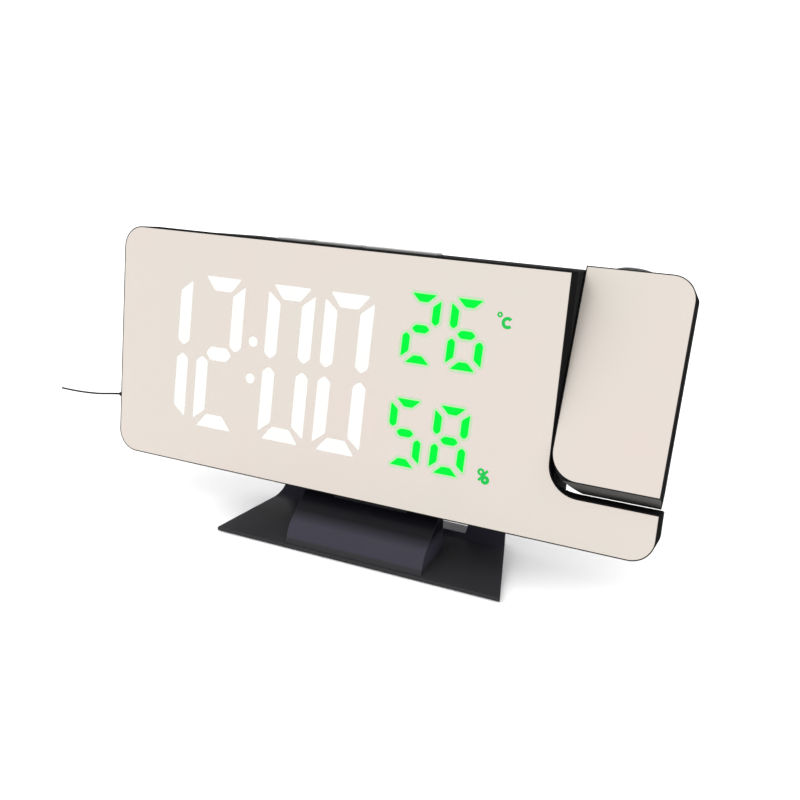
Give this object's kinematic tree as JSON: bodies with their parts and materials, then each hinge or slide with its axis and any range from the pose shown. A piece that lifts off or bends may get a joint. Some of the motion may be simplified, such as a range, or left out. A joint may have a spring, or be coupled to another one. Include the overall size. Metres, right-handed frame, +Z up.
{
  "type": "projection alarm clock",
  "caption": "Mirror-fronted digital bedside clock with a tilting projector head in a notch at its right end, leaning back on a low moulded stand.",
  "frame": {"origin": "on the table, under the middle of the box of the clock and its stand, without the aerial wire", "axes": "+X to the right as the display is read, +Z up, front face towards -Y"},
  "size_m": [0.2364, 0.0644, 0.0954],
  "materials": {
    "mirror_face": "half-silvered acrylic pane, smooth",
    "housing_gloss": "glossy black moulding",
    "housing_black": "fine textured black moulding",
    "key_black": "satin black moulding",
    "stand_black": "satin black moulding",
    "time_light": "clear guide lit white",
    "climate_light": "clear guide lit green",
    "reflector_white": "white moulded reflector",
    "board_green": "solder mask over glass fibre",
    "chip_black": "moulded chip case",
    "plated_steel": "plated steel",
    "screw_steel": "blackened steel",
    "bush_white": "natural acetal",
    "speaker_cone": "pressed film cone in a steel frame",
    "optics_black": "dull black moulding",
    "ring_black": "satin black moulding",
    "lens_glass": "polished lens",
    "film_clear": "printed film between panes",
    "led_white": "clear dome over a white chip",
    "pad_rubber": "soft rubber",
    "wire_jacket": "thin flexible jacket"
  },
  "bodies": {
    "clock_body": {"front_mirror": "mirror_face", "front_frame": "housing_gloss", "rear_cover": "housing_black", "cell_holder": "optics_black", "coin_cell": "plated_steel", "time_segments": "time_light", "climate_segments": "climate_light", "display_reflector": "reflector_white", "main_board": "board_green", "clock_chip": "chip_black", "quartz_can": "plated_steel", "speaker": "speaker_cone", "climate_sensor": "board_green", "power_socket": "plated_steel", "key_board": "board_green", "key_switches": "plated_steel", "pivot_bush": "bush_white", "cover_screws": "screw_steel", "stand_screws": "screw_steel", "stand_base": "stand_black", "base_pads": "pad_rubber", "aerial_relief": "wire_jacket", "aerial_wire": "wire_jacket"},
    "projector_head": {"head_front_shell": "housing_black", "head_rear_shell": "housing_black", "head_mirror": "mirror_face", "led_board": "board_green", "projector_led": "led_white", "lens_barrel": "optics_black", "condenser_lens": "lens_glass", "time_film": "film_clear", "head_screws": "screw_steel", "pivot_shaft": "plated_steel", "spring_washer": "plated_steel", "shaft_clip": "plated_steel", "projector_lead": "wire_jacket"},
    "focus_wheel": {"focus_ring": "ring_black"},
    "moving_lens": {"lens_cell": "optics_black", "projection_lens": "lens_glass"},
    "left_button": {"left_key": "key_black"},
    "middle_button": {"middle_key": "key_black"},
    "snooze_bar": {"snooze_key": "key_black"},
    "battery_door": {"cell_door": "housing_black"}
  },
  "joints": [
    {"name": "head_tilt", "type": "hinge", "parent": "clock_body", "child": "projector_head", "pos_m": [0.062, -0.00342, 0.04469], "axis": [-1, 0, 0], "range_deg": [-15.7, 89.3]},
    {"name": "focus_turn", "type": "hinge", "parent": "projector_head", "child": "focus_wheel", "pos_m": [0.075, -0.00342, 0.04469], "axis": [0, 0.4571, 0.8894], "range_deg": [-90, 90]},
    {"name": "lens_slide", "type": "slide", "parent": "projector_head", "child": "moving_lens", "axis": [0, 0.4571, 0.8894], "range_m": [-0.00098, 0.00098]},
    {"name": "left_press", "type": "slide", "parent": "clock_body", "child": "left_button", "axis": [0, -0.1994, -0.9799], "range_m": [0, 0.0005], "stiffness_N_per_m": 1000, "springref_m": -0.0002},
    {"name": "middle_press", "type": "slide", "parent": "clock_body", "child": "middle_button", "axis": [0, -0.1994, -0.9799], "range_m": [0, 0.0005], "stiffness_N_per_m": 1000, "springref_m": -0.0002},
    {"name": "snooze_press", "type": "slide", "parent": "clock_body", "child": "snooze_bar", "axis": [0, -0.1994, -0.9799], "range_m": [0, 0.0005], "stiffness_N_per_m": 1000, "springref_m": -0.0002},
    {"name": "door_pull", "type": "slide", "parent": "clock_body", "child": "battery_door", "axis": [0, 0.9799, -0.1994], "range_m": [0, 0.012]}
  ],
  "couplings": [
    {"joint": "focus_turn", "follows": "lens_slide", "rad_per_m": 1587.3}
  ]
}
